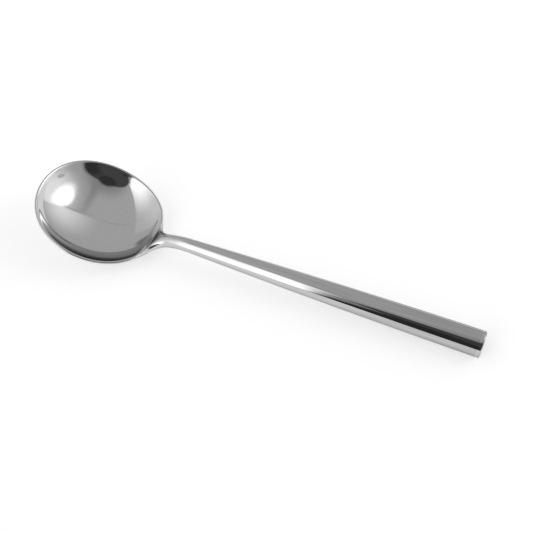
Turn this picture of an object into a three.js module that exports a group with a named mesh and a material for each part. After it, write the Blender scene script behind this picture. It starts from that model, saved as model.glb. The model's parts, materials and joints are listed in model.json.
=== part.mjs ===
import * as THREE from 'three';

const { degToRad, lerp, smootherstep } = THREE.MathUtils;

// A dessert spoon with a round bowl and a hollow round handle, in millimetres, lying as on a table.
// +X runs from the bowl's tip to the handle's end, +Y across the bowl and +Z up.
// The bowl is drawn in the plane of its rim, with the origin at the rim's centre, and laid down last.

// Bowl
const BOWL_LENGTH = 50; // rim, from the tip to the neck
const BOWL_WIDTH = 45.4; // rim, across its centre
const BOWL_DEPTH = 8.9; // rim to floor, at the middle of the sheet
const BOWL_WALL = 1.3; // sheet
const BOWL_ROUNDNESS = 0.81; // 0 is a parabola, and more gives a flatter floor and steeper sides
const BOWL_FULLNESS = 0.1; // how far the rim's outline fills out between its two axes
const BOWL_EGG = 0.02; // how much the rim widens to the tip and narrows to the neck, as a share
const RIM_LIFT = 1.5; // rise of the rim's tip and neck end over its sides

// Neck
const NECK_LENGTH = 14; // from the rim's end to the handle's mouth
const NECK_RISE = 2.6; // handle's axis over the rim's end
const NECK_ANGLE = 15.4; // handle's axis to the plane of the rim, in degrees
const BLEND_HEIGHT = 8.2; // depth of the bowl's side that turns into the neck
const SHOULDER_RADIUS = 6.2; // from the rim into the neck, seen from above
const LIFT_BEFORE_RIM = 5.2; // the edge starts to climb from the rim to the handle's axis
const LIFT_PAST_RIM = 13.2; // the edge has reached the handle's axis
const GROWTH_BEFORE_RIM = 5; // the sheet starts to thicken
const GROWTH_PAST_RIM = 5.4; // the neck is as thick as it is wide

// Handle
const HANDLE_LENGTH = 114.3; // from its mouth to the outer face of the end cap
const MOUTH_DIAMETER = 5.4; // at the neck
const END_DIAMETER = 10.1; // at the end cap
const HANDLE_SWELL = 0.8; // diameter at half length over a straight taper's
const HANDLE_WALL = 0.8; // tube

// Tang, filler, end cap and braze
const TANG_LENGTH = 40; // from the neck's shoulder
const TANG_CLEARANCE = 0.1; // round the tang in the handle's mouth
const FILLER_START = 15; // from the neck's shoulder
const FILLER_CLEARANCE = 0.1; // between the filler and what it fills
const CAP_THICKNESS = 1.2; // flange
const CAP_EDGE_RADIUS = 0.6; // round on the outer edge
const SPIGOT_LENGTH = 3; // inside the handle
const SPIGOT_CLEARANCE = 0.1; // round the spigot
const BRAZE_JOINT = 0.3; // width of a brazed joint
const BRAZE_CLEARANCE = 0.05; // on each side of a braze ring

// Facets
const BOWL_ROWS = 24;
const SHOULDER_ROWS = 6;
const NECK_ROWS = 10;
const SHEET_SIDES = 42; // even, but not a multiple of 4: a flat strip runs along the underside
const HANDLE_SIDES = 40;
const HANDLE_STEPS = 16;
const FILLER_STEPS = 10;
const CAP_EDGE_STEPS = 4;

// Accuracy of the slopes and roots that are worked out
const SLOPE_STEP = 0.01;
const SOLVER_STEPS = 50;

const steel = { color: 0xc9cacc, roughness: 0.08, metalness: 1 };
const silverBraze = { color: 0xd6d0bf, roughness: 0.2, metalness: 1 };
const resin = { color: 0x8d8478, roughness: 0.8, metalness: 0 };

const halfLength = BOWL_LENGTH / 2;
const halfWidth = BOWL_WIDTH / 2;
const neckAngle = degToRad(NECK_ANGLE);
const neckEnd = halfLength + NECK_LENGTH * Math.cos(neckAngle);

// Handle, by the distance from its mouth
function handleRadius(distance) {
  const share = distance / HANDLE_LENGTH;
  const taper = MOUTH_DIAMETER + (END_DIAMETER - MOUTH_DIAMETER) * share;
  return (taper + 4 * HANDLE_SWELL * share * (1 - share)) / 2;
}

function boreRadius(distance) {
  return handleRadius(distance) - HANDLE_WALL;
}

const mouthRadius = handleRadius(0);
const mouthSlope = (END_DIAMETER - MOUTH_DIAMETER + 4 * HANDLE_SWELL) / (2 * HANDLE_LENGTH);
const tubeStart = BRAZE_JOINT;
const flangeStart = HANDLE_LENGTH - CAP_THICKNESS;
const tubeEnd = flangeStart - BRAZE_JOINT;
const spigotStart = tubeEnd - SPIGOT_LENGTH;
const spigotRadius = boreRadius(spigotStart) - SPIGOT_CLEARANCE;
const tangRadius = boreRadius(tubeStart) - TANG_CLEARANCE;

// Root of an equation that grows with its unknown
function solve(equation, low, high) {
  for (let step = 0; step < SOLVER_STEPS; step += 1) {
    const middle = (low + high) / 2;
    if (equation(middle) > 0) {
      high = middle;
    } else {
      low = middle;
    }
  }
  return (low + high) / 2;
}

// Middle of the sheet: height over the plane of the rim
function axisHeight(x) {
  return RIM_LIFT + NECK_RISE + Math.tan(neckAngle) * (x - halfLength);
}

function edgeHeight(x) {
  const rim = RIM_LIFT * (x / halfLength) ** 2;
  const climb = smootherstep(x, halfLength - LIFT_BEFORE_RIM, halfLength + LIFT_PAST_RIM);
  return lerp(rim, axisHeight(x), climb);
}

// Outline of the rim: half its width, and a measure that grows outwards and is 1 on the rim
function sideWidth(x) {
  return halfWidth * (1 - (BOWL_EGG * x) / halfLength);
}

function outwardness(x, y) {
  const along = (x / halfLength) ** 2;
  const across = (y / sideWidth(x)) ** 2;
  return along + across * (1 - BOWL_FULLNESS * along);
}

// Depth of the bowl under its edge as a share of the full depth, below zero past the rim
function dish(x, y) {
  const outward = outwardness(x, y);
  const inside = Math.min(outward, 1);
  const flatness = Math.sqrt(1 - BOWL_ROUNDNESS);
  const rimSlope = BOWL_ROUNDNESS / (2 * flatness * (1 - flatness));
  const depth = (Math.sqrt(1 - BOWL_ROUNDNESS * inside) - flatness) / (1 - flatness);
  return depth - rimSlope * (outward - inside);
}

// The larger of a value and zero, with the corner rounded over a reach to both sides
function roundedRamp(value, reach) {
  if (value >= reach) {
    return value;
  }
  const share = Math.max(0, value / reach + 1);
  return (reach * share ** 3 * (4 - share)) / 16;
}

function sheetHeight(x, y) {
  const reach = (BLEND_HEIGHT / BOWL_DEPTH) * smootherstep(x, halfLength - LIFT_BEFORE_RIM, halfLength);
  return edgeHeight(x) - BOWL_DEPTH * roundedRamp(dish(x, y), reach);
}

function sheetNormal(x, y) {
  const slopeX = (sheetHeight(x + SLOPE_STEP, y) - sheetHeight(x - SLOPE_STEP, y)) / (2 * SLOPE_STEP);
  const slopeY = (sheetHeight(x, y + SLOPE_STEP) - sheetHeight(x, y - SLOPE_STEP)) / (2 * SLOPE_STEP);
  return new THREE.Vector3(-slopeX, -slopeY, 1).normalize();
}

// Outline from above: the rim, by its angle from the neck, then the shoulder and the neck
function rimPoint(angle) {
  const x = halfLength * Math.cos(angle);
  const squeeze = Math.sqrt(1 - BOWL_FULLNESS * Math.cos(angle) ** 2);
  return new THREE.Vector2(x, (sideWidth(x) * Math.sin(angle)) / squeeze);
}

function rimOutward({ x, y }) {
  const alongX = outwardness(x + SLOPE_STEP, y) - outwardness(x - SLOPE_STEP, y);
  const alongY = outwardness(x, y + SLOPE_STEP) - outwardness(x, y - SLOPE_STEP);
  return new THREE.Vector2(alongX, alongY).normalize();
}

function shoulderCentre(angle) {
  const point = rimPoint(angle);
  return point.addScaledVector(rimOutward(point), SHOULDER_RADIUS);
}

function neckRootHalfWidth(rootX) {
  return mouthRadius - (mouthSlope * (neckEnd - rootX)) / 2;
}

const shoulderAngle = solve((angle) => {
  const centre = shoulderCentre(angle);
  return centre.y - SHOULDER_RADIUS - neckRootHalfWidth(centre.x);
}, 0, Math.PI / 2);
const shoulder = shoulderCentre(shoulderAngle);

function neckHalfWidth(x) {
  const fromRoot = Math.max(0, x - shoulder.x);
  return neckRootHalfWidth(shoulder.x) + (mouthSlope * fromRoot ** 2) / (2 * (neckEnd - shoulder.x));
}

function outlinePoints() {
  const points = [];
  for (let row = 1; row <= BOWL_ROWS; row += 1) {
    points.push(rimPoint(lerp(Math.PI, shoulderAngle, row / BOWL_ROWS)));
  }
  const inward = rimOutward(rimPoint(shoulderAngle)).negate();
  const arcStart = Math.atan2(inward.y, inward.x);
  for (let row = 1; row <= SHOULDER_ROWS; row += 1) {
    const turn = lerp(arcStart, -Math.PI / 2, row / SHOULDER_ROWS);
    const spoke = new THREE.Vector2(Math.cos(turn), Math.sin(turn));
    points.push(spoke.multiplyScalar(SHOULDER_RADIUS).add(shoulder));
  }
  for (let row = 1; row <= NECK_ROWS; row += 1) {
    const x = lerp(shoulder.x, neckEnd, row / NECK_ROWS);
    points.push(new THREE.Vector2(x, neckHalfWidth(x)));
  }
  return points;
}

// Half the thickness in the middle of a section: sheet in the bowl, as thick as wide in the neck
function halfThickness(x) {
  const growth = smootherstep(x, halfLength - GROWTH_BEFORE_RIM, halfLength + GROWTH_PAST_RIM);
  return lerp(BOWL_WALL / 2, neckHalfWidth(x), growth);
}

// Section of the bowl or neck across a point of the outline, with round edges
function sheetSection(outlinePoint) {
  const { x, y: width } = outlinePoint;
  const thickness = halfThickness(x);
  const towardsTip = Math.min(x, 0) / halfLength;
  const edgeSharpness = (2 * (x < 0 ? halfWidth : width)) / thickness;
  const section = [];
  for (let side = 0; side < SHEET_SIDES; side += 1) {
    const angle = (2 * Math.PI * side) / SHEET_SIDES;
    const y = width * Math.cos(angle);
    const edge = Math.sqrt(1 - Math.sin(angle) ** 2 * (1 - towardsTip ** 2));
    const offset = thickness * Math.sqrt(Math.max(0, 1 - edge ** edgeSharpness));
    const middle = new THREE.Vector3(x, y, sheetHeight(x, y));
    section.push(middle.addScaledVector(sheetNormal(x, y), Math.sign(Math.sin(angle)) * offset));
  }
  return section;
}

// Handle's axis, from the neck's shoulder
const mouth = new THREE.Vector3(neckEnd, 0, axisHeight(neckEnd));
const axis = new THREE.Vector3(Math.cos(neckAngle), 0, Math.sin(neckAngle));
const axisUp = new THREE.Vector3(-axis.z, 0, axis.x);

function tangSection(distance) {
  const section = [];
  for (let side = 0; side < SHEET_SIDES; side += 1) {
    const angle = (2 * Math.PI * side) / SHEET_SIDES;
    const point = mouth.clone().addScaledVector(axis, distance);
    point.addScaledVector(axisUp, tangRadius * Math.sin(angle));
    point.y += tangRadius * Math.cos(angle);
    section.push(point);
  }
  return section;
}

// Closed skin over sections that follow each other along +X, drawn to a point at both ends
function skin(startPoint, sections, endPoint) {
  const sides = sections[0].length;
  const points = [startPoint, ...sections.flat(), endPoint];
  const last = points.length - 1;
  const index = [];
  const corner = (row, side) => 1 + row * sides + (side % sides);
  for (let side = 0; side < sides; side += 1) {
    index.push(0, corner(0, side + 1), corner(0, side));
    for (let row = 0; row < sections.length - 1; row += 1) {
      index.push(corner(row, side), corner(row, side + 1), corner(row + 1, side));
      index.push(corner(row, side + 1), corner(row + 1, side + 1), corner(row + 1, side));
    }
    index.push(corner(sections.length - 1, side), corner(sections.length - 1, side + 1), last);
  }
  const geometry = new THREE.BufferGeometry().setFromPoints(points);
  geometry.setIndex(index);
  geometry.computeVertexNormals();
  return geometry;
}

function bowlAndNeckGeometry() {
  const tip = new THREE.Vector3(-halfLength, 0, sheetHeight(-halfLength, 0));
  const tangEnd = mouth.clone().addScaledVector(axis, TANG_LENGTH);
  const sections = outlinePoints().map(sheetSection);
  return skin(tip, [...sections, tangSection(0), tangSection(TANG_LENGTH)], tangEnd);
}

// Solid turned about the handle's axis, from [distance, radius] pairs that close on themselves or the axis
function turned(profile) {
  const points = profile.map(([distance, radius]) => new THREE.Vector2(radius, distance));
  return new THREE.LatheGeometry(points, HANDLE_SIDES).rotateZ(-Math.PI / 2);
}

function taperedWall(radiusAt, start, end, steps) {
  const wall = [];
  for (let step = 0; step <= steps; step += 1) {
    const distance = lerp(start, end, step / steps);
    wall.push([distance, radiusAt(distance)]);
  }
  return wall;
}

function handleTubeGeometry() {
  const outside = taperedWall(handleRadius, tubeStart, tubeEnd, HANDLE_STEPS);
  const bore = taperedWall(boreRadius, tubeEnd, tubeStart, HANDLE_STEPS);
  return turned([...outside, ...bore, outside[0]]);
}

function endCapGeometry() {
  const edgeStart = HANDLE_LENGTH - CAP_EDGE_RADIUS;
  const faceRadius = handleRadius(edgeStart) - CAP_EDGE_RADIUS;
  const edge = [];
  for (let step = 0; step <= CAP_EDGE_STEPS; step += 1) {
    const turn = (Math.PI / 2) * (step / CAP_EDGE_STEPS);
    const distance = edgeStart + CAP_EDGE_RADIUS * Math.sin(turn);
    edge.push([distance, faceRadius + CAP_EDGE_RADIUS * Math.cos(turn)]);
  }
  return turned([
    [spigotStart, 0],
    [spigotStart, spigotRadius],
    [flangeStart, spigotRadius],
    [flangeStart, handleRadius(flangeStart)],
    ...edge,
    [HANDLE_LENGTH, 0],
  ]);
}

// Flat ring that fills a brazed joint round a tang or spigot, flush with the handle
function brazeRingGeometry(jointStart, innerRadius) {
  const start = jointStart + BRAZE_CLEARANCE;
  const end = jointStart + BRAZE_JOINT - BRAZE_CLEARANCE;
  const bore = innerRadius + BRAZE_CLEARANCE;
  return turned([
    [start, bore],
    [start, handleRadius(start)],
    [end, handleRadius(end)],
    [end, bore],
    [start, bore],
  ]);
}

function handleFillerGeometry() {
  const end = spigotStart - FILLER_CLEARANCE;
  const hole = tangRadius + FILLER_CLEARANCE;
  const holeEnd = TANG_LENGTH + FILLER_CLEARANCE;
  const outside = taperedWall((d) => boreRadius(d) - FILLER_CLEARANCE, FILLER_START, end, FILLER_STEPS);
  return turned([[holeEnd, 0], [holeEnd, hole], [FILLER_START, hole], ...outside, [end, 0]]);
}

function piece(name, geometry, finish) {
  const mesh = new THREE.Mesh(geometry, new THREE.MeshStandardMaterial(finish));
  mesh.name = name;
  return mesh;
}

const bowlAndNeck = piece('bowl_and_neck', bowlAndNeckGeometry(), steel);
const handle = new THREE.Group();
handle.position.copy(mouth);
handle.rotation.y = -neckAngle;
handle.add(
  piece('handle_tube', handleTubeGeometry(), steel),
  piece('end_cap', endCapGeometry(), steel),
  piece('neck_braze_ring', brazeRingGeometry(0, tangRadius), silverBraze),
  piece('cap_braze_ring', brazeRingGeometry(tubeEnd, spigotRadius), silverBraze),
  piece('handle_filler', handleFillerGeometry(), resin),
);

// The spoon lies on its bowl and on the handle's end, so it tips until both are equally low
const spoon = new THREE.Group();
spoon.add(bowlAndNeck, handle);

function lowest(object) {
  return new THREE.Box3().setFromObject(object, true).min.z;
}

spoon.rotation.y = solve((tilt) => {
  spoon.rotation.y = tilt;
  spoon.updateMatrixWorld(true);
  return lowest(bowlAndNeck) - lowest(handle);
}, 0, Math.PI / 4);
spoon.updateMatrixWorld(true);

// Origin under the middle of the whole spoon, on the table
const bounds = new THREE.Box3().setFromObject(spoon, true);
spoon.position.set(-(bounds.min.x + bounds.max.x) / 2, 0, -bounds.min.z);

const group = new THREE.Group();
group.add(spoon);

export default group;
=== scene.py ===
import json
import math
from typing import NamedTuple

import bmesh
import bpy
import numpy as np
from mathutils import Matrix, Vector


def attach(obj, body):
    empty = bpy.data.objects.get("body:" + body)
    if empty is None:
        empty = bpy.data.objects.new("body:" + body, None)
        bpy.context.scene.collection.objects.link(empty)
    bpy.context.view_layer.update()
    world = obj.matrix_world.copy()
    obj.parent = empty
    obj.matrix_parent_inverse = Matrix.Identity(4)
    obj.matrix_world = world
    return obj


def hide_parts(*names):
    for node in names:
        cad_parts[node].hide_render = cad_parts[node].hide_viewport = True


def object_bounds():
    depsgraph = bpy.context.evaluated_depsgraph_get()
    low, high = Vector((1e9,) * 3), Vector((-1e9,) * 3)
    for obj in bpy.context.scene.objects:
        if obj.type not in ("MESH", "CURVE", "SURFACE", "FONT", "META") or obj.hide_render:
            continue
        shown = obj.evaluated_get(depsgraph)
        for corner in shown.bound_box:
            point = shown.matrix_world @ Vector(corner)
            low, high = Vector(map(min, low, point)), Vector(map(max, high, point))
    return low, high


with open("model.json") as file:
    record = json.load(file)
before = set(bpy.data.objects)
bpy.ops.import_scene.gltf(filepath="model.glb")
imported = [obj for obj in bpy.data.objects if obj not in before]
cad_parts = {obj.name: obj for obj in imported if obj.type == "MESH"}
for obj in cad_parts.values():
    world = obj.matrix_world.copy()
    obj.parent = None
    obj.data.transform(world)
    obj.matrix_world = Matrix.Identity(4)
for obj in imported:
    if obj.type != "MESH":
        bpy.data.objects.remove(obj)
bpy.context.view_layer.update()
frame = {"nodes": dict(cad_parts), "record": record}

# A mirror-polished dessert spoon with a round bowl and a hollow round handle.
# The sizes below are in millimetres and degrees, and the meshes in metres.
MM = 0.001

# Bowl, in the plane of its rim, with the origin at the rim's centre and +X towards the handle
BOWL_LENGTH = 50
BOWL_WIDTH = 45.4
BOWL_DEPTH = 8.9
BOWL_WALL = 1.3
BOWL_ROUNDNESS = 0.81
BOWL_FULLNESS = 0.1
BOWL_EGG = 0.02
RIM_LIFT = 1.5

# Neck
NECK_LENGTH = 14
NECK_RISE = 2.6
NECK_ANGLE = math.radians(15.4)
BLEND_HEIGHT = 8.2
SHOULDER_RADIUS = 6.2
LIFT_BEFORE_RIM = 5.2
LIFT_PAST_RIM = 13.2
GROWTH_BEFORE_RIM = 5
GROWTH_PAST_RIM = 5.4

# Handle, with its end cap, tang and brazed joints
HANDLE_LENGTH = 114.3
MOUTH_DIAMETER = 5.4
END_DIAMETER = 10.1
HANDLE_SWELL = 0.8
HANDLE_WALL = 0.8
TANG_LENGTH = 40
TANG_CLEARANCE = 0.1
CAP_THICKNESS = 1.2
CAP_EDGE_RADIUS = 0.6
SPIGOT_LENGTH = 3
SPIGOT_CLEARANCE = 0.1
BRAZE_JOINT = 0.3

# Fineness of the meshes
BOWL_ROWS = 160
SHOULDER_ROWS = 48
NECK_ROWS = 48
SHEET_SIDES = 192
HANDLE_SIDES = 160
HANDLE_STEPS = 96
CAP_EDGE_STEPS = 10
SLOPE_STEP = 0.001
LEAST_REACH = 1e-9
SINE_DECIMALS = 9
SOLVER_STEPS = 50
SHARP_ANGLE = math.radians(50)

# Camera: it looks at a point of the table, as in the photograph
CAMERA_AZIMUTH = math.radians(22.01)
CAMERA_ELEVATION = math.radians(53.33)
CAMERA_DISTANCE = 338.4
CAMERA_TARGET = Vector((2.43, 6.84, 0))
CAMERA_LENS = 58.94
CAMERA_NEAREST = 10

HALF_LENGTH = BOWL_LENGTH / 2
HALF_WIDTH = BOWL_WIDTH / 2
NECK_END = HALF_LENGTH + NECK_LENGTH * math.cos(NECK_ANGLE)


def smootherstep(x, low, high):
    share = np.clip((x - low) / (high - low), 0, 1)
    return share**3 * (share * (6 * share - 15) + 10)


def lerp(start, end, share):
    return start + (end - start) * share


def handle_radius(distance):
    share = distance / HANDLE_LENGTH
    taper = lerp(MOUTH_DIAMETER, END_DIAMETER, share)
    return (taper + 4 * HANDLE_SWELL * share * (1 - share)) / 2


def bore_radius(distance):
    return handle_radius(distance) - HANDLE_WALL


MOUTH_RADIUS = handle_radius(0)
MOUTH_SLOPE = (END_DIAMETER - MOUTH_DIAMETER + 4 * HANDLE_SWELL) / (2 * HANDLE_LENGTH)
TUBE_START = BRAZE_JOINT
FLANGE_START = HANDLE_LENGTH - CAP_THICKNESS
TUBE_END = FLANGE_START - BRAZE_JOINT
SPIGOT_START = TUBE_END - SPIGOT_LENGTH
SPIGOT_RADIUS = bore_radius(SPIGOT_START) - SPIGOT_CLEARANCE
TANG_RADIUS = bore_radius(TUBE_START) - TANG_CLEARANCE


# Middle of the sheet: height over the plane of the rim
def axis_height(x):
    return RIM_LIFT + NECK_RISE + math.tan(NECK_ANGLE) * (x - HALF_LENGTH)


def edge_height(x):
    rim = RIM_LIFT * (x / HALF_LENGTH) ** 2
    climb = smootherstep(x, HALF_LENGTH - LIFT_BEFORE_RIM, HALF_LENGTH + LIFT_PAST_RIM)
    return lerp(rim, axis_height(x), climb)


def side_width(x):
    return HALF_WIDTH * (1 - BOWL_EGG * x / HALF_LENGTH)


def outwardness(x, y):
    """A measure that grows outwards from the bowl's middle and is 1 on the rim."""
    along = (x / HALF_LENGTH) ** 2
    across = (y / side_width(x)) ** 2
    return along + across * (1 - BOWL_FULLNESS * along)


def dish(x, y):
    """Depth of the bowl under its edge as a share of the full depth, below zero past the rim."""
    outward = outwardness(x, y)
    inside = np.minimum(outward, 1)
    flatness = math.sqrt(1 - BOWL_ROUNDNESS)
    rim_slope = BOWL_ROUNDNESS / (2 * flatness * (1 - flatness))
    depth = (np.sqrt(1 - BOWL_ROUNDNESS * inside) - flatness) / (1 - flatness)
    return depth - rim_slope * (outward - inside)


def rounded_ramp(value, reach):
    """The larger of a value and zero, with the corner rounded over a reach to both sides."""
    share = np.clip(value / np.maximum(reach, LEAST_REACH) + 1, 0, 2)
    return np.where(value >= reach, value, reach * share**3 * (4 - share) / 16)


def sheet_height(x, y):
    reach = (BLEND_HEIGHT / BOWL_DEPTH) * smootherstep(x, HALF_LENGTH - LIFT_BEFORE_RIM, HALF_LENGTH)
    return edge_height(x) - BOWL_DEPTH * rounded_ramp(dish(x, y), reach)


def sheet_normal(x, y):
    slope_x = (sheet_height(x + SLOPE_STEP, y) - sheet_height(x - SLOPE_STEP, y)) / (2 * SLOPE_STEP)
    slope_y = (sheet_height(x, y + SLOPE_STEP) - sheet_height(x, y - SLOPE_STEP)) / (2 * SLOPE_STEP)
    normal = np.stack([-slope_x, -slope_y, np.ones_like(slope_x)], axis=-1)
    return normal / np.linalg.norm(normal, axis=-1, keepdims=True)


# Outline from above: the rim, by its angle from the neck, then the shoulder and the neck
def rim_point(angle):
    x = HALF_LENGTH * np.cos(angle)
    squeeze = np.sqrt(1 - BOWL_FULLNESS * np.cos(angle) ** 2)
    return np.stack([x, side_width(x) * np.sin(angle) / squeeze], axis=-1)


def rim_outward(point):
    x, y = point
    along_x = outwardness(x + SLOPE_STEP, y) - outwardness(x - SLOPE_STEP, y)
    along_y = outwardness(x, y + SLOPE_STEP) - outwardness(x, y - SLOPE_STEP)
    return np.array([along_x, along_y]) / math.hypot(along_x, along_y)


def shoulder_centre(angle):
    point = rim_point(angle)
    return point + SHOULDER_RADIUS * rim_outward(point)


def neck_root_half_width(root_x):
    return MOUTH_RADIUS - MOUTH_SLOPE * (NECK_END - root_x) / 2


def solve_shoulder_angle():
    """Angle at which an arc that leaves the rim there also runs into the neck."""
    low, high = 0, math.pi / 2
    for _ in range(SOLVER_STEPS):
        middle = (low + high) / 2
        centre = shoulder_centre(middle)
        if centre[1] - SHOULDER_RADIUS > neck_root_half_width(centre[0]):
            high = middle
        else:
            low = middle
    return (low + high) / 2


SHOULDER_ANGLE = solve_shoulder_angle()
SHOULDER = shoulder_centre(SHOULDER_ANGLE)


def neck_half_width(x):
    from_root = np.maximum(0, x - SHOULDER[0])
    widening = MOUTH_SLOPE * from_root**2 / (2 * (NECK_END - SHOULDER[0]))
    return neck_root_half_width(SHOULDER[0]) + widening


def outline_points():
    rim = rim_point(np.linspace(math.pi, SHOULDER_ANGLE, BOWL_ROWS + 1)[1:])
    inward = -rim_outward(rim_point(SHOULDER_ANGLE))
    arc_start = math.atan2(inward[1], inward[0])
    turn = np.linspace(arc_start, -math.pi / 2, SHOULDER_ROWS + 1)[1:]
    arc = SHOULDER + SHOULDER_RADIUS * np.stack([np.cos(turn), np.sin(turn)], axis=-1)
    neck_x = np.linspace(SHOULDER[0], NECK_END, NECK_ROWS + 1)[1:]
    neck = np.stack([neck_x, neck_half_width(neck_x)], axis=-1)
    return np.concatenate([rim, arc, neck])


def half_thickness(x):
    """Half the thickness in the middle of a section: sheet in the bowl, as thick as wide in the neck."""
    growth = smootherstep(x, HALF_LENGTH - GROWTH_BEFORE_RIM, HALF_LENGTH + GROWTH_PAST_RIM)
    return lerp(BOWL_WALL / 2, neck_half_width(x), growth)


def sheet_sections():
    """Sections of the bowl and neck across each point of the outline, with round edges."""
    outline = outline_points()
    x = np.repeat(outline[:, :1], SHEET_SIDES, axis=1)
    width = outline[:, 1:]
    angle = 2 * math.pi * np.arange(SHEET_SIDES) / SHEET_SIDES
    y = width * np.cos(angle)
    thickness = half_thickness(x)
    towards_tip = np.minimum(x, 0) / HALF_LENGTH
    edge_sharpness = 2 * np.where(x < 0, HALF_WIDTH, width) / thickness
    edge = np.sqrt(1 - np.sin(angle) ** 2 * (1 - towards_tip**2))
    offset = thickness * np.sqrt(np.maximum(0, 1 - edge**edge_sharpness))
    middle = np.stack([x, y, sheet_height(x, y)], axis=-1)
    side = np.sign(np.round(np.sin(angle), SINE_DECIMALS))
    return middle + sheet_normal(x, y) * (side * offset)[..., None]


# Handle's axis, from the neck's shoulder
MOUTH = np.array([NECK_END, 0, axis_height(NECK_END)])
AXIS = np.array([math.cos(NECK_ANGLE), 0, math.sin(NECK_ANGLE)])
AXIS_UP = np.array([-AXIS[2], 0, AXIS[0]])
ACROSS = np.array([0, 1, 0])


def round_section(distance, radius, sides):
    angle = 2 * math.pi * np.arange(sides)[:, None] / sides
    return MOUTH + AXIS * distance + radius * (ACROSS * np.cos(angle) + AXIS_UP * np.sin(angle))


def skin(sections, start=None, end=None):
    """Vertices and faces over sections in a row, drawn to a point at both ends or into a ring."""
    sides = len(sections[0])
    count = len(sections)
    vertices = np.concatenate(sections)
    ring = start is None
    faces = []
    for row in range(count if ring else count - 1):
        here = row * sides
        there = (row + 1) % count * sides
        for side in range(sides):
            following = (side + 1) % sides
            faces.append((here + side, here + following, there + following, there + side))
    if not ring:
        first = len(vertices)
        last_row = (count - 1) * sides
        vertices = np.concatenate([vertices, [start, end]])
        for side in range(sides):
            following = (side + 1) % sides
            faces.append((first, following, side))
            faces.append((first + 1, last_row + side, last_row + following))
    return vertices, faces


def bowl_and_neck_skin():
    tip = np.array([-HALF_LENGTH, 0, sheet_height(np.array(-HALF_LENGTH), np.array(0.0))])
    tang = [round_section(distance, TANG_RADIUS, SHEET_SIDES) for distance in (0, TANG_LENGTH)]
    return skin([*sheet_sections(), *tang], tip, MOUTH + AXIS * TANG_LENGTH)


def turned(profile):
    """Skin turned about the handle's axis, from (distance, radius) pairs.

    A profile that starts on the axis also ends there, and any other closes on itself.
    """
    if profile[0][1] > 0:
        return skin([round_section(*place, HANDLE_SIDES) for place in profile])
    sections = [round_section(*place, HANDLE_SIDES) for place in profile[1:-1]]
    return skin(sections, MOUTH + AXIS * profile[0][0], MOUTH + AXIS * profile[-1][0])


def tapered_wall(radius_at, start, end):
    return [(distance, radius_at(distance)) for distance in np.linspace(start, end, HANDLE_STEPS + 1)]


def handle_tube_skin():
    outside = tapered_wall(handle_radius, TUBE_START, TUBE_END)
    return turned(outside + tapered_wall(bore_radius, TUBE_END, TUBE_START))


def end_cap_skin():
    edge_start = HANDLE_LENGTH - CAP_EDGE_RADIUS
    face_radius = handle_radius(edge_start) - CAP_EDGE_RADIUS
    turn = np.linspace(0, math.pi / 2, CAP_EDGE_STEPS + 1)
    edge = zip(edge_start + CAP_EDGE_RADIUS * np.sin(turn), face_radius + CAP_EDGE_RADIUS * np.cos(turn))
    return turned([
        (SPIGOT_START, 0),
        (SPIGOT_START, SPIGOT_RADIUS),
        (FLANGE_START, SPIGOT_RADIUS),
        (FLANGE_START, handle_radius(FLANGE_START)),
        *edge,
        (HANDLE_LENGTH, 0),
    ])


def braze_ring_skin(joint_start, inner_radius):
    joint_end = joint_start + BRAZE_JOINT
    return turned([
        (joint_start, inner_radius),
        (joint_start, handle_radius(joint_start)),
        (joint_end, handle_radius(joint_end)),
        (joint_end, inner_radius),
    ])


# Place of the spoon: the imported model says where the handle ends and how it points
def rest_placement():
    mount = next(mount for mount in frame["record"]["mounts"] if mount["name"] == "handle_end")
    axis = Vector(mount["axis"]).normalized()
    turn = Matrix.Rotation(NECK_ANGLE - math.asin(axis.z), 4, "Y")
    mouth = Vector(mount["pos_m"]) - axis * HANDLE_LENGTH * MM
    return Matrix.Translation(mouth - turn @ Vector(MOUTH * MM)) @ turn @ Matrix.Scale(MM, 4)


def piece(name, skin_of_piece, material, replaced_node):
    vertices, faces = skin_of_piece
    mesh = bpy.data.meshes.new(name)
    mesh.from_pydata(vertices.tolist(), [], faces)
    mesh.transform(PLACEMENT)
    mesh.materials.append(material)
    edges = bmesh.new()
    edges.from_mesh(mesh)
    for face in edges.faces:
        face.smooth = True
    for edge in edges.edges:
        edge.smooth = edge.calc_face_angle(0) < SHARP_ANGLE
    edges.to_mesh(mesh)
    edges.free()
    placed = bpy.data.objects.new(name, mesh)
    bpy.context.scene.collection.objects.link(placed)
    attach(placed, "root")
    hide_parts(replaced_node)


# Materials: shades and roughness from 0 to 1, grains to the metre, and the rise of ripples in metres
NOISE_LOW = 0.3
NOISE_HIGH = 0.7
STEEL_EDGE_TINT = (0.5, 0.5, 0.5, 1)
BOWL_SHADES = (0.59, 0.61)
# The cap is darker than the bowl, carrying on the handle's painted shade at its end
CAP_PAINTED_SHADES = (0.5, 0.52)
FINE_GRAIN = (900, 900, 900)
FINE_DETAIL = 3
BUFFED_ROUGHNESS = (0.035, 0.05)
PRESS_WAVES = (160, 160, 160)
PRESS_WAVE_DETAIL = 1
PRESS_WAVE_RISE = 6e-6
# The handle's colour darkens from mouth to end: painted shade, standing in for the darker reflections
# near where it rests on the table
HANDLE_SHADE_AT_MOUTH = 0.59
HANDLE_PAINTED_SHADE_AT_END = 0.48
POLISHING_LINES = (40, 1400, 1400)
LINE_DETAIL = 3
LINE_SHADES = (-0.045, 0.045)
LINE_ROUGHNESS = (0.06, 0.03)
LINE_RISE = 3e-6
BRAZE_SHADES = (0.54, 0.6)
BRAZE_ROUGHNESS = (0.04, 0.1)
RESIN_DARK = (0.5, 0.47, 0.42, 1)
RESIN_LIGHT = (0.6, 0.57, 0.52, 1)
RESIN_SPECKS = (700, 700, 700)
RESIN_DETAIL = 4
RESIN_ROUGHNESS = 0.6


def new_material(name):
    material = bpy.data.materials.new(name)
    material.use_nodes = True
    nodes = material.node_tree.nodes
    return material, nodes, material.node_tree.links, nodes["Principled BSDF"]


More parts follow.
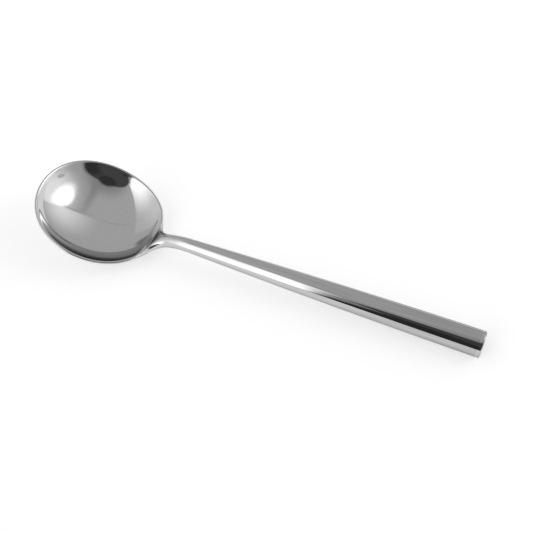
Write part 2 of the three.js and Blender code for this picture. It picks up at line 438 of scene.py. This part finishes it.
def grain(nodes, links, per_metre, detail):
    """Noise whose grains have a number to the metre along each axis."""
    place = nodes.new("ShaderNodeTexCoord")
    stretch = nodes.new("ShaderNodeMapping")
    stretch.inputs["Scale"].default_value = per_metre
    links.new(place.outputs["Object"], stretch.inputs["Vector"])
    noise = nodes.new("ShaderNodeTexNoise")
    noise.inputs["Scale"].default_value = 1
    noise.inputs["Detail"].default_value = detail
    links.new(stretch.outputs[0], noise.inputs["Vector"])
    return noise.outputs["Fac"]


def ranged(nodes, links, share, low, high):
    """The middle of a noise's values, spread from low to high."""
    spread = nodes.new("ShaderNodeMapRange")
    spread.inputs["From Min"].default_value = NOISE_LOW
    spread.inputs["From Max"].default_value = NOISE_HIGH
    spread.inputs["To Min"].default_value = low
    spread.inputs["To Max"].default_value = high
    links.new(share, spread.inputs["Value"])
    return spread.outputs["Result"]


def ripple(nodes, links, height, rise, shader):
    bump = nodes.new("ShaderNodeBump")
    bump.inputs["Distance"].default_value = rise
    links.new(height, bump.inputs["Height"])
    links.new(bump.outputs[0], shader.inputs["Normal"])


def along_handle(nodes, links, at_mouth, at_end):
    """Value that changes evenly along the handle."""
    place = nodes.new("ShaderNodeTexCoord")
    parts = nodes.new("ShaderNodeSeparateXYZ")
    links.new(place.outputs["Object"], parts.inputs[0])
    spread = nodes.new("ShaderNodeMapRange")
    spread.inputs["From Min"].default_value = (PLACEMENT @ Vector(MOUTH)).x
    spread.inputs["From Max"].default_value = (PLACEMENT @ Vector(MOUTH + AXIS * HANDLE_LENGTH)).x
    spread.inputs["To Min"].default_value = at_mouth
    spread.inputs["To Max"].default_value = at_end
    links.new(parts.outputs["X"], spread.inputs["Value"])
    return spread.outputs["Result"]


def polished_steel(name):
    material, nodes, links, shader = new_material(name)
    shader.inputs["Metallic"].default_value = 1
    shader.inputs["Specular Tint"].default_value = STEEL_EDGE_TINT
    return material, nodes, links, shader


def buffed_steel(name, shades):
    """Steel polished in the round: fine grain, and a faint waviness from the press."""
    material, nodes, links, shader = polished_steel(name)
    fine = grain(nodes, links, FINE_GRAIN, FINE_DETAIL)
    links.new(ranged(nodes, links, fine, *shades), shader.inputs["Base Color"])
    links.new(ranged(nodes, links, fine, *BUFFED_ROUGHNESS), shader.inputs["Roughness"])
    waves = grain(nodes, links, PRESS_WAVES, PRESS_WAVE_DETAIL)
    ripple(nodes, links, waves, PRESS_WAVE_RISE, shader)
    return material


def handle_steel():
    """Steel polished along the handle, with fine lines, and darker towards its end: painted shade for
    the darker reflections near the end, where the handle rests on the table.
    """
    material, nodes, links, shader = polished_steel("handle_steel")
    lines = grain(nodes, links, POLISHING_LINES, LINE_DETAIL)
    shade = nodes.new("ShaderNodeMath")
    # Base colour darkening along the handle towards its end is painted shade
    links.new(along_handle(nodes, links, HANDLE_SHADE_AT_MOUTH, HANDLE_PAINTED_SHADE_AT_END), shade.inputs[0])
    links.new(ranged(nodes, links, lines, *LINE_SHADES), shade.inputs[1])
    links.new(shade.outputs[0], shader.inputs["Base Color"])
    links.new(ranged(nodes, links, lines, *LINE_ROUGHNESS), shader.inputs["Roughness"])
    ripple(nodes, links, lines, LINE_RISE, shader)
    return material


def silver_braze():
    material, nodes, links, shader = new_material("silver_braze")
    shader.inputs["Metallic"].default_value = 1
    fine = grain(nodes, links, FINE_GRAIN, FINE_DETAIL)
    links.new(ranged(nodes, links, fine, *BRAZE_SHADES), shader.inputs["Base Color"])
    links.new(ranged(nodes, links, fine, *BRAZE_ROUGHNESS), shader.inputs["Roughness"])
    return material


def cast_resin():
    material, nodes, links, shader = new_material("cast_resin")
    specks = nodes.new("ShaderNodeMix")
    specks.data_type = "RGBA"
    specks.inputs["A"].default_value = RESIN_DARK
    specks.inputs["B"].default_value = RESIN_LIGHT
    links.new(grain(nodes, links, RESIN_SPECKS, RESIN_DETAIL), specks.inputs["Factor"])
    links.new(specks.outputs["Result"], shader.inputs["Base Color"])
    shader.inputs["Roughness"].default_value = RESIN_ROUGHNESS
    return material


PLACEMENT = rest_placement()
bowl_steel = buffed_steel("bowl_steel", BOWL_SHADES)
# The cap steel's darker colour is painted shade, as at the handle's end
cap_steel = buffed_steel("cap_steel", CAP_PAINTED_SHADES)
braze = silver_braze()
neck_ring = braze_ring_skin(0, TANG_RADIUS)
cap_ring = braze_ring_skin(TUBE_END, SPIGOT_RADIUS)
piece("bowl_and_neck_polished", bowl_and_neck_skin(), bowl_steel, "bowl_and_neck")
piece("handle_tube_polished", handle_tube_skin(), handle_steel(), "handle_tube")
piece("end_cap_polished", end_cap_skin(), cap_steel, "end_cap")
piece("neck_braze_polished", neck_ring, braze, "neck_braze_ring")
piece("cap_braze_polished", cap_ring, braze, "cap_braze_ring")

filler = frame["nodes"]["handle_filler"]
filler.data.materials.clear()
filler.data.materials.append(cast_resin())


# Camera
def add_camera():
    towards_camera = Vector((
        math.sin(CAMERA_AZIMUTH) * math.cos(CAMERA_ELEVATION),
        -math.cos(CAMERA_AZIMUTH) * math.cos(CAMERA_ELEVATION),
        math.sin(CAMERA_ELEVATION),
    ))
    camera = bpy.data.objects.new("camera", bpy.data.cameras.new("camera"))
    camera.data.lens = CAMERA_LENS
    camera.data.clip_start = CAMERA_NEAREST * MM
    camera.location = (CAMERA_TARGET + towards_camera * CAMERA_DISTANCE) * MM
    camera.rotation_euler = towards_camera.to_track_quat("Z", "Y").to_euler()
    bpy.context.scene.collection.objects.link(camera)
    bpy.context.scene.camera = camera


# Floor
FLOOR_RADIUS = 3000
FLOOR_SIDES = 96
FLOOR_ALBEDO = (0.8, 0.8, 0.8, 1)
FLOOR_GLOW = 0.51
FLOOR_SHADED = (0.75, 0.75, 0.75, 1)


def pale_floor():
    material = bpy.data.materials.new("pale_floor")
    material.use_nodes = True
    nodes = material.node_tree.nodes
    links = material.node_tree.links
    nodes.clear()
    path = nodes.new("ShaderNodeLightPath")
    seen = path.outputs["Is Camera Ray"]
    for ray in ("Is Glossy Ray", "Is Transmission Ray"):
        either = nodes.new("ShaderNodeMath")
        either.operation = "MAXIMUM"
        links.new(seen, either.inputs[0])
        links.new(path.outputs[ray], either.inputs[1])
        seen = either.outputs[0]
    plain = nodes.new("ShaderNodeBsdfDiffuse")
    plain.inputs["Color"].default_value = FLOOR_ALBEDO
    shaded = nodes.new("ShaderNodeBsdfDiffuse")
    shaded.inputs["Color"].default_value = FLOOR_SHADED
    glow = nodes.new("ShaderNodeEmission")
    glow.inputs["Strength"].default_value = FLOOR_GLOW
    white = nodes.new("ShaderNodeAddShader")
    links.new(glow.outputs[0], white.inputs[0])
    links.new(shaded.outputs[0], white.inputs[1])
    mix = nodes.new("ShaderNodeMixShader")
    links.new(seen, mix.inputs[0])
    links.new(plain.outputs[0], mix.inputs[1])
    links.new(white.outputs[0], mix.inputs[2])
    output = nodes.new("ShaderNodeOutputMaterial")
    links.new(mix.outputs[0], output.inputs["Surface"])
    return material


def add_floor():
    mesh = bpy.data.meshes.new("floor")
    disc = bmesh.new()
    bmesh.ops.create_circle(disc, cap_ends=True, radius=FLOOR_RADIUS * MM, segments=FLOOR_SIDES)
    disc.to_mesh(mesh)
    disc.free()
    mesh.materials.append(pale_floor())
    floor = bpy.data.objects.new("floor", mesh)
    floor.location.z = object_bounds()[0][2]
    bpy.context.scene.collection.objects.link(floor)


# Studio light: soft-edged patches on a dome, laid over each other in this order
class Patch(NamedTuple):
    """A patch by its degrees from overhead, to the right of the camera and away from it."""

    shape: str
    place: tuple
    half: tuple
    edge: tuple  # where the edge starts and ends, as shares of the half sizes
    level: float
    turn: float = 0
    upon: tuple = ()  # patches that lie on this one and end with it


CEILING = 0.55
STUDIO = [
    # Softbox on the right, its frame first
    Patch("box", (65, -10), (40, 55), (0.85, 1.15), 0.35, -20),
    Patch("box", (65, -5), (35, 50), (0.85, 1.1), 0.5, -5, (
        Patch("oval", (75, 15), (40, 55), (0.2, 1.1), 1.2, -10),
        Patch("oval", (60, 10), (15, 30), (0.2, 1), 2.2, -20),
        Patch("oval", (57, 10), (13, 18), (0.1, 1), 3.4, -18),
        Patch("oval", (76, -15), (9, 4), (0.5, 1.1), 0.62, 50),
    )),
    # Wall behind, with its lower edge and the glow of the softbox on it
    Patch("oval", (35, 95), (65, 75), (0.95, 1), 0.55, 0, (
        Patch("oval", (55, 25), (40, 45), (-0.2, 1.1), 1.2, 15),
    )),
    Patch("oval", (35, 20), (25, 2), (0.2, 1), 0.5, 5),
    Patch("oval", (-1, 26), (24, 2.2), (0.2, 1), 0.49, -7),
    # Window of light on the left, with the dark corner over it
    Patch("box", (-72, -20), (50, 63), (0.95, 1.01), 0.64, 0, (
        Patch("oval", (-60, 0), (45, 60), (0.2, 1), 0.86),
        Patch("oval", (-42, -58), (40, 82), (0, 1), 2.4, -15),
    )),
    Patch("oval", (-38, 62), (13, 10), (0.5, 1.1), 0.24),
    # Dark side from which the picture is taken
    Patch("oval", (10, -50), (40, 50), (0.5, 1), 0.33),
    Patch("box", (-14, -63.5), (25.5, 22.5), (0.84, 1.05), 0.33, -29),
    Patch("oval", (-4.5, -46.5), (22, 21.5), (0.93, 1.02), 0.078),
    Patch("box", (-16, -85), (33, 25), (0.92, 1), 0.035, -43),
    Patch("oval", (12, -58), (33, 28), (0.92, 1.03), 0.078),
    Patch("oval", (9, -33.5), (14.5, 11), (0.6, 1.07), 0.045),
    Patch("oval", (31, -51), (17, 16), (0.35, 1.2), 0.04),
]


def studio_coordinates(nodes, links):
    direction = nodes.new("ShaderNodeTexCoord")
    level = nodes.new("ShaderNodeMapping")
    level.vector_type = "TEXTURE"
    level.inputs["Rotation"].default_value = (0, 0, CAMERA_AZIMUTH)
    links.new(direction.outputs["Generated"], level.inputs["Vector"])
    parts = nodes.new("ShaderNodeSeparateXYZ")
    links.new(level.outputs[0], parts.inputs[0])
    from_zenith = nodes.new("ShaderNodeMath")
    from_zenith.operation = "ARCCOSINE"
    links.new(parts.outputs["Z"], from_zenith.inputs[0])
    degrees = nodes.new("ShaderNodeMath")
    degrees.operation = "DEGREES"
    links.new(from_zenith.outputs[0], degrees.inputs[0])
    flat = nodes.new("ShaderNodeVectorMath")
    flat.operation = "MULTIPLY"
    flat.inputs[1].default_value = (1, 1, 0)
    links.new(level.outputs[0], flat.inputs[0])
    heading = nodes.new("ShaderNodeVectorMath")
    heading.operation = "NORMALIZE"
    links.new(flat.outputs[0], heading.inputs[0])
    spread = nodes.new("ShaderNodeVectorMath")
    spread.operation = "SCALE"
    links.new(heading.outputs[0], spread.inputs[0])
    links.new(degrees.outputs[0], spread.inputs["Scale"])
    return spread.outputs[0]


def patch_distance(patch, spread, nodes, links):
    """Distance from a patch's middle, 1 at its outline."""
    local = nodes.new("ShaderNodeMapping")
    local.vector_type = "TEXTURE"
    local.inputs["Location"].default_value = (*patch.place, 0)
    local.inputs["Rotation"].default_value = (0, 0, math.radians(patch.turn))
    local.inputs["Scale"].default_value = (*patch.half, 1)
    links.new(spread, local.inputs["Vector"])
    if patch.shape == "oval":
        length = nodes.new("ShaderNodeVectorMath")
        length.operation = "LENGTH"
        links.new(local.outputs[0], length.inputs[0])
        return length.outputs["Value"]
    sides = nodes.new("ShaderNodeVectorMath")
    sides.operation = "ABSOLUTE"
    links.new(local.outputs[0], sides.inputs[0])
    parts = nodes.new("ShaderNodeSeparateXYZ")
    links.new(sides.outputs[0], parts.inputs[0])
    larger = nodes.new("ShaderNodeMath")
    larger.operation = "MAXIMUM"
    links.new(parts.outputs["X"], larger.inputs[0])
    links.new(parts.outputs["Y"], larger.inputs[1])
    return larger.outputs[0]


def lay_patches(patches, ground_level, spread, nodes, links):
    """Light level of patches laid on a ground, as a socket."""
    ground = nodes.new("ShaderNodeValue")
    ground.outputs[0].default_value = ground_level
    light = ground.outputs[0]
    for patch in patches:
        cover = nodes.new("ShaderNodeMapRange")
        cover.interpolation_type = "SMOOTHSTEP"
        edge_start, edge_end = patch.edge
        cover.inputs["From Min"].default_value = edge_end
        cover.inputs["From Max"].default_value = edge_start
        links.new(patch_distance(patch, spread, nodes, links), cover.inputs["Value"])
        laid = nodes.new("ShaderNodeMix")
        links.new(cover.outputs["Result"], laid.inputs["Factor"])
        links.new(light, laid.inputs["A"])
        links.new(lay_patches(patch.upon, patch.level, spread, nodes, links), laid.inputs["B"])
        light = laid.outputs["Result"]
    return light


def add_studio():
    world = bpy.data.worlds.new("studio")
    world.use_nodes = True
    bpy.context.scene.world = world
    nodes = world.node_tree.nodes
    links = world.node_tree.links
    spread = studio_coordinates(nodes, links)
    light = lay_patches(STUDIO, CEILING, spread, nodes, links)
    nodes["Background"].inputs["Color"].default_value = (1, 1, 1, 1)
    links.new(light, nodes["Background"].inputs["Strength"])


add_camera()
add_floor()
add_studio()
bpy.context.scene.view_settings.view_transform = "Standard"
